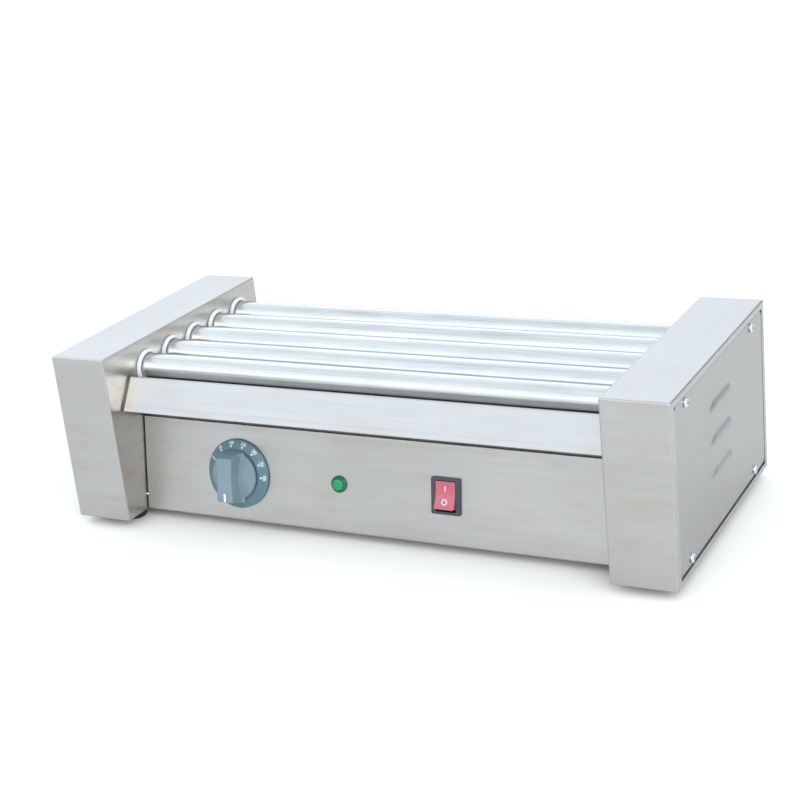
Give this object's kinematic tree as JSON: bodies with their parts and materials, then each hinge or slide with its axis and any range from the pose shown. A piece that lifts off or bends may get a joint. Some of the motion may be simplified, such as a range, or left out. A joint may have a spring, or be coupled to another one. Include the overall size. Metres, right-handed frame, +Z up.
{
  "type": "hot dog roller grill",
  "caption": "Counter-top roller grill: heated rollers turned by a chain between two steel end housings, over a pull-out drip tray, with a thermostat dial, pilot lamp and rocker switch.",
  "frame": {"origin": "on the counter, under the middle of the machine's box", "axes": "+X along the rollers to the right, +Y from the controls to the back, +Z up"},
  "size_m": [0.564, 0.248, 0.16],
  "materials": {
    "brushed_steel": "brushed",
    "roller_steel": "ground and polished",
    "zinc_plate": "bright zinc plate",
    "chain_steel": "oiled",
    "element_sheath": "heat-tinted",
    "copper_tube": "drawn",
    "white_ptfe": "satin",
    "black_rubber": "matte",
    "knob_plastic": "satin moulded",
    "black_plastic": "satin moulded",
    "red_plastic": "gloss, translucent",
    "green_lens": "gloss, translucent",
    "pale_ceramic": "matte"
  },
  "bodies": {
    "frame": {"left_housing": "brushed_steel", "right_housing": "brushed_steel", "left_side_cover": "brushed_steel", "right_side_cover": "brushed_steel", "right_cover_screw_lower_front": "zinc_plate", "right_cover_screw_lower_rear": "zinc_plate", "right_cover_screw_upper_front": "zinc_plate", "right_cover_screw_upper_rear": "zinc_plate", "control_panel": "brushed_steel", "floor_plate": "brushed_steel", "back_panel": "brushed_steel", "tray_deck": "brushed_steel", "foot_front_left": "black_rubber", "foot_front_right": "black_rubber", "foot_rear_left": "black_rubber", "foot_rear_right": "black_rubber", "bush_left_1": "white_ptfe", "bush_right_1": "white_ptfe", "heating_element_1": "element_sheath", "bush_left_2": "white_ptfe", "bush_right_2": "white_ptfe", "heating_element_2": "element_sheath", "bush_left_3": "white_ptfe", "bush_right_3": "white_ptfe", "heating_element_3": "element_sheath", "bush_left_4": "white_ptfe", "bush_right_4": "white_ptfe", "heating_element_4": "element_sheath", "bush_left_5": "white_ptfe", "bush_right_5": "white_ptfe", "heating_element_5": "element_sheath", "heater_bracket_left": "brushed_steel", "heater_bracket_right": "brushed_steel", "drive_chain": "chain_steel", "gear_motor": "zinc_plate", "motor_bracket": "brushed_steel", "thermostat": "pale_ceramic", "dial_plate": "knob_plastic", "pilot_lamp": "black_plastic", "pilot_lens": "green_lens", "switch_housing": "black_plastic", "thermostat_probe": "copper_tube", "cable_gland": "black_plastic", "terminal_block": "pale_ceramic"},
    "roller_1": {"roller_1": "roller_steel", "roller_sprocket_1": "chain_steel"},
    "roller_2": {"roller_2": "roller_steel", "roller_sprocket_2": "chain_steel"},
    "roller_3": {"roller_3": "roller_steel", "roller_sprocket_3": "chain_steel"},
    "roller_4": {"roller_4": "roller_steel", "roller_sprocket_4": "chain_steel"},
    "roller_5": {"roller_5": "roller_steel", "roller_sprocket_5": "chain_steel"},
    "drive_shaft": {"motor_shaft": "zinc_plate", "motor_sprocket": "chain_steel"},
    "tray": {"drip_tray": "brushed_steel"},
    "knob": {"knob": "knob_plastic", "thermostat_spindle": "zinc_plate"},
    "rocker": {"switch_rocker": "red_plastic"}
  },
  "joints": [
    {"name": "roller_1_spin", "type": "hinge", "parent": "frame", "child": "roller_1", "pos_m": [0, -0.0634, 0.1328], "axis": [1, 0, 0], "continuous": true},
    {"name": "roller_2_spin", "type": "hinge", "parent": "frame", "child": "roller_2", "pos_m": [0, -0.0253, 0.1328], "axis": [1, 0, 0], "continuous": true},
    {"name": "roller_3_spin", "type": "hinge", "parent": "frame", "child": "roller_3", "pos_m": [0, 0.0128, 0.1328], "axis": [1, 0, 0], "continuous": true},
    {"name": "roller_4_spin", "type": "hinge", "parent": "frame", "child": "roller_4", "pos_m": [0, 0.0509, 0.1328], "axis": [1, 0, 0], "continuous": true},
    {"name": "roller_5_spin", "type": "hinge", "parent": "frame", "child": "roller_5", "pos_m": [0, 0.089, 0.1328], "axis": [1, 0, 0], "continuous": true},
    {"name": "motor_spin", "type": "hinge", "parent": "frame", "child": "drive_shaft", "pos_m": [0.236, 0.0128, 0.062], "axis": [1, 0, 0], "continuous": true},
    {"name": "tray_slide", "type": "slide", "parent": "frame", "child": "tray", "axis": [0, -1, 0], "range_m": [0, 0.19]},
    {"name": "knob_turn", "type": "hinge", "parent": "frame", "child": "knob", "pos_m": [-0.125, -0.09112, 0.05054], "axis": [0, 0.9833, -0.1822], "range_deg": [0, 283]},
    {"name": "switch_rock", "type": "hinge", "parent": "frame", "child": "rocker", "pos_m": [0.0746, -0.08621, 0.04963], "axis": [1, 0, 0], "range_deg": [0, 21]}
  ],
  "couplings": [
    {"joint": "roller_2_spin", "follows": "roller_1_spin", "ratio": 1},
    {"joint": "roller_3_spin", "follows": "roller_1_spin", "ratio": 1},
    {"joint": "roller_4_spin", "follows": "roller_1_spin", "ratio": 1},
    {"joint": "roller_5_spin", "follows": "roller_1_spin", "ratio": 1},
    {"joint": "motor_spin", "follows": "roller_1_spin", "ratio": 1}
  ]
}
